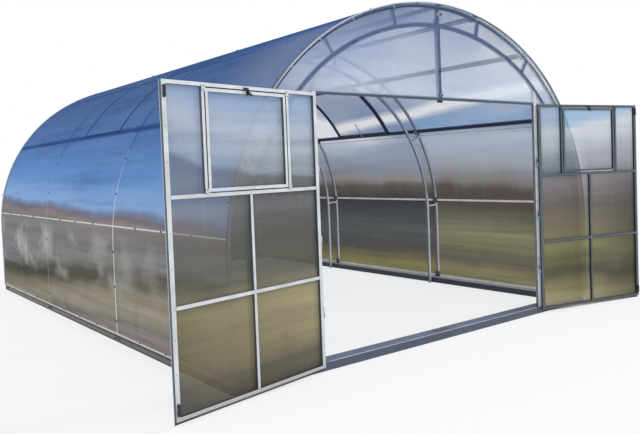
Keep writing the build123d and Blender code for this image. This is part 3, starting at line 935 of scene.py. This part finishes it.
# Bolts and small plates of the doorway and the king post
post_top_z, post_foot_z = 2.652, 1.997
post_plate_y, post_bolt_y = -0.0055, -0.007
stop_z = 1.948
jamb_x = 1.275
stop_rivet = dome(0.005, 0.003, 0.003, 0.0042)
jamb_rivet = dome(0.006, 0.002, 0.003, 0.003)
dark_bolts = Piece("doorway_bolts", "house", "dark_steel", bolt_dark)
top_plate = Piece("king_post_top_plate", "house", "galvanised_tube", bolt_zinc)
top_plate.block(Vector((0, post_plate_y, post_top_z)), (0.074, 0.003, 0.024), bevel=0.001)
top_plate.block(Vector((0, post_plate_y, post_foot_z)), (0.052, 0.003, 0.018), bevel=0.001)
for side in sides:
    dark_bolts.lathe(Vector((side * 0.026, post_bolt_y, post_top_z)), front_way, bolt_profile, 6)
for side in sides:
    dark_bolts.lathe(Vector((side * 0.016, post_bolt_y, post_foot_z)), front_way, bolt_profile, 6)
    dark_bolts.lathe(Vector((side * 0.016, 0.002, stop_z)), front_way, stop_rivet, 10)
dark_bolts.lathe(Vector((0, -0.004, 2.19)), front_way, bolt_profile, 6)
for side in sides:
    for z in (0.51, 1.06, 1.61):
        dark_bolts.lathe(Vector((side * jamb_x, 0.0, z)), front_way, jamb_rivet, 10)
top_plate.done()
dark_bolts.done()

# Splice plates and bolts of the base; none in the middle of the front, where the leaves pass
splice_z = 0.031
plate_thick, plate_tall = 0.0025, 0.044
plate_out = 0.0052
side_out = half_width + plate_out
bolt_out = 0.0012
splices = Piece("base_splices", "house", "base_steel", base_zinc)
anchors = Piece("base_bolts", "house", "dark_steel", bolt_dark)
for side in sides:
    for y in (0.09, 2.0, 4.0, 5.91):
        splices.block(Vector((side * side_out, y, splice_z)), (plate_thick, 0.11, plate_tall), bevel=0.001)
        for dy in (-0.035, 0.035):
            foot = Vector((side * (side_out + bolt_out), y + dy, splice_z))
            anchors.lathe(foot, (side, 0, 0), bolt_profile, 6)
for x in (-1.9, 0.0, 1.9):
    for y, way in ((-plate_out, -1), (house_length + plate_out, 1)):
        if x == 0.0 and way < 0:
            continue
        splices.block(Vector((x, y, splice_z)), (0.12, plate_thick, plate_tall), bevel=0.001)
        for dx in (-0.04, 0.04):
            anchors.lathe(Vector((x + dx, y + way * bolt_out, splice_z)), (0, way, 0), bolt_profile, 6)
splices.done()
anchors.done()

# The sill's bright lip, and the splice in its middle
sill_plate_z = 0.0612
sill_edge = Piece("sill_lip", "house", "base_steel", zinc_rail)
sill_edge.block(Vector((0.0, 0.0015, 0.0604)), (2.44, 0.006, 0.0022), bevel=0.0008)
sill_edge.done()
sill_joint = Piece("sill_splice", "house", "base_steel", bolt_zinc)
sill_joint.block(Vector((0.0, 0.066, sill_plate_z)), (0.16, 0.09, plate_thick), bevel=0.001)
for x in (-0.055, 0.055):
    for y in (0.045, 0.087):
        sill_joint.lathe(Vector((x, y, sill_plate_z + bolt_out)), upward, bolt_profile, 6)
sill_joint.done()

# Roof vents: edge seals, and strap hinges on the upper edge, with two grooves round each pin
vent_y = (2.51, 3.49)
vent_runs = (1.1943, 1.9947)
hinge_run = vent_runs[0]
seal_half = 0.012
strap_thick = 0.0024
strap_half = 0.03
strap_rivet = dome(0.0042, 0.0012, 0.0025, 0.0022)
seal_outs = (cover_out, cover_out + strap_thick)
strap_outs = (cover_out + strap_thick, cover_out + 2 * strap_thick)
pin, groove = 0.0046, 0.004
pin_profile = ((pin, 0), (pin, 0.0195), (groove, 0.02), (pin, 0.0205), (pin, 0.0395), (groove, 0.04),
               (pin, 0.0405), (pin, 0.06))
seals = Piece("roof_vent_seals", "house", "dark_steel", seal_blue)
straps = Piece("roof_vent_hinges", "house", "galvanised_tube", zinc_dark)
for side in sides:
    for y in vent_y:
        seals.band(side, (hinge_run - seal_half, vent_runs[1] + seal_half), (y - seal_half, y + seal_half),
                   seal_outs, 10)
    for run in vent_runs:
        seals.band(side, (run - seal_half, run + seal_half),
                   (vent_y[0] + seal_half, vent_y[1] - seal_half), seal_outs)
    for y in (2.66, 3.34):
        for start, end in ((-0.048, -0.003), (0.003, 0.048)):
            straps.band(side, (hinge_run + start, hinge_run + end), (y - strap_half, y + strap_half),
                        strap_outs)
        point = roof_place(side * hinge_run, y - strap_half, cover_out + 0.0052)[0]
        straps.lathe(point, along_y, pin_profile, 12)
        for dr in (-0.032, 0.032):
            for dy in (-0.018, 0.018):
                point, way = roof_place(side * (hinge_run + dr), y + dy, strap_outs[1])
                straps.lathe(point, way, strap_rivet, 8)
seals.done()
straps.done()

# Door leaves, by distance from the hinge, height, and depth inward
leaf_start, leaf_end = 0.011, 1.2645
leaf_low, leaf_high, mid_rail, low_rail = 0.034, 1.9618, 1.302, 0.675
stile_mid = 1.2495
half_rail = 0.011
inner_face, outer_face = 0.009, -0.015
latch_face, vent_face = 0.021, 0.013
post_in = (0.30275, 0.97275)
latch_z = 1.9278
weld_long, weld_short, weld_thick = 0.02, 0.0045, 0.0026
gasket_wide, gasket_deep, gasket_y = 0.0038, 0.012, -0.003
latch_profile = ((0.008, 0), (0.008, 0.002), (0.0055, 0.0022), (0.0055, 0.006), (0.004, 0.007))
latch_screw = dome(0.0045, 0.002, 0.003, 0.003)
vent_screw = dome(0.004, 0.0015, 0.0025, 0.0024)
stile_rivet = dome(0.003, 0.001, 0.0015, 0.0016)
for side in sides:
    body = side_name[side] + "_leaf"
    axes = leaf_axes(side)
    inward = axes[1]
    # painted light and shade: the welds are a lit steel on the left leaf and a shaded one on the right
    welds = Piece(body + "_welds", body, "galvanised_tube", bolt_zinc if side < 0 else zinc_mid)
    joints = []
    for z in (mid_rail, low_rail):
        for s in (leaf_start + 0.03, leaf_end - 0.03):
            joints.append((s, z, weld_short, 0.021))
    for z in (mid_rail - half_rail, low_rail + half_rail, low_rail - half_rail, leaf_low + 2 * half_rail):
        joints.append((leaf_mid, z, weld_long, weld_short))
    for s in (post_in[0] - 0.01, post_in[1] + 0.01):
        for z in (leaf_high - 2 * half_rail, mid_rail + half_rail):
            joints.append((s, z, weld_long, weld_short))
    for s, z, wide, tall in joints:
        welds.block(on_leaf(side, s, inner_face, z), (wide, weld_thick, tall), axes, 0.0012)
    welds.done()

    gasket = Piece(body + "_vent_gasket", body, "dark_steel", rubber)
    low, high = mid_rail + half_rail, leaf_high - 2 * half_rail
    upright = (gasket_wide, gasket_deep, high - low - 0.001)
    level = (post_in[1] - post_in[0] - 0.01, gasket_deep, gasket_wide)
    for s in (post_in[0] + 0.002, post_in[1] - 0.002):
        gasket.block(on_leaf(side, s, gasket_y, (low + high) / 2), upright, axes, 0.001)
    for z in (low + 0.002, high - 0.002):
        gasket.block(on_leaf(side, leaf_mid, gasket_y, z), level, axes, 0.001)
    gasket.done()

    fittings = Piece(body + "_fittings", body, "dark_steel", bolt_dark)
    fittings.lathe(on_leaf(side, leaf_mid, inner_face + 0.01, latch_z), inward, latch_profile, 12)
    for z in (0.082, 0.12, 1.878, 1.916):
        fittings.lathe(on_leaf(side, stile_mid, latch_face, z), inward, latch_screw, 10)
    for s in (post_in[0] - 0.007, post_in[1] + 0.007):
        for z in (1.312, 1.332, 1.92, 1.942):
            fittings.lathe(on_leaf(side, s, vent_face, z), inward, vent_screw, 10)
    for z in (0.3, 0.5, 0.9, 1.1, 1.5, 1.7):
        fittings.lathe(on_leaf(side, stile_mid, inner_face, z), inward, stile_rivet, 8)
    fittings.done()

    places = []
    for z in (0.16, 0.5, 0.85, 1.2, 1.55, 1.9):
        places.append((on_leaf(side, stile_mid, outer_face, z), -inward))
    for s in (0.32, 0.64, 0.96):
        for z in (0.045, low_rail, mid_rail, leaf_high - half_rail):
            if not (s == 0.64 and z > 1.9):
                places.append((on_leaf(side, s, outer_face, z), -inward))
    fix_sheet(places, body + "_sheet", body)


# Camera, from the photograph's view. The photo's middle isn't on the camera's axis
picture_px = (640, 434)
axis_px = (360, 195)
focal_px = 684.124
sensor_width = 36
camera_place = (-4.1041, -3.8769, 1.4333)
yaw, pitch, roll = (math.radians(a) for a in (39.698, -2.303, -2.030))
forward = Vector((math.sin(yaw) * math.cos(pitch), math.cos(yaw) * math.cos(pitch), math.sin(pitch)))
right = Vector((math.cos(yaw), -math.sin(yaw), 0))
up = right.cross(forward)
camera_x = right * math.cos(roll) + up * math.sin(roll)
camera_y = up * math.cos(roll) - right * math.sin(roll)
camera_data = bpy.data.cameras.new("camera")
camera_data.sensor_width = sensor_width
camera_data.lens = focal_px / picture_px[0] * sensor_width
camera_data.shift_x = (picture_px[0] / 2 - axis_px[0]) / picture_px[0]
camera_data.shift_y = (axis_px[1] - picture_px[1] / 2) / picture_px[0]
camera = bpy.data.objects.new("camera", camera_data)
camera_turn = Matrix((camera_x, camera_y, -forward)).transposed().to_4x4()
camera.matrix_world = Matrix.Translation(camera_place) @ camera_turn
scene.collection.objects.link(camera)
scene.camera = camera
scene.view_settings.view_transform = "Standard"

# Pale floor, which glows where it is seen
floor_half = 60
corners = [(x * floor_half, y * floor_half, 0) for x, y in ((-1, -1), (1, -1), (1, 1), (-1, 1))]
floor_mesh = bpy.data.meshes.new("floor")
floor_mesh.from_pydata(corners, [], [(0, 1, 2, 3)])
floor = bpy.data.objects.new("floor", floor_mesh)
floor.location.z = -0.002
scene.collection.objects.link(floor)
pale = new_material("floor_pale")
body = pale.add("BsdfDiffuse", {"Color": (0.86, 0.86, 0.86, 1)}).outputs[0]
glow = pale.add("Emission", {"Color": (1, 1, 1, 1), "Strength": 1.0}).outputs[0]
floor_mesh.materials.append(pale.close(pale.blend(pale.seen() * 0.72, body, glow)))

# White surround, dimmer as a light than as it is seen
world = bpy.data.worlds.new("surround")
scene.world = world
surround = Nodes(world)
fill = surround.add("Background", {0: (0.95, 0.97, 1.0, 1), 1: 0.75}).outputs[0]
white = surround.add("Background", {0: (1, 1, 1, 1), 1: 1.0}).outputs[0]
surround.close(surround.blend(surround.seen(), fill, white), "OutputWorld")


def lamp(name, energy, spread, way):
    """A sun lamp that shines from a direction."""
    data = bpy.data.lights.new(name, "SUN")
    data.energy = energy
    data.angle = math.radians(spread)
    obj = bpy.data.objects.new(name, data)
    obj.rotation_euler = Vector(way).to_track_quat("Z", "Y").to_euler()
    scene.collection.objects.link(obj)


lamp("front_fill", 0.6, 40, (-0.25, -0.85, 0.4))
lamp("side_fill", 0.6, 40, (-0.88, -0.2, 0.42))
lamp("key", 1.1, 8, (0.78, -0.22, 0.58))
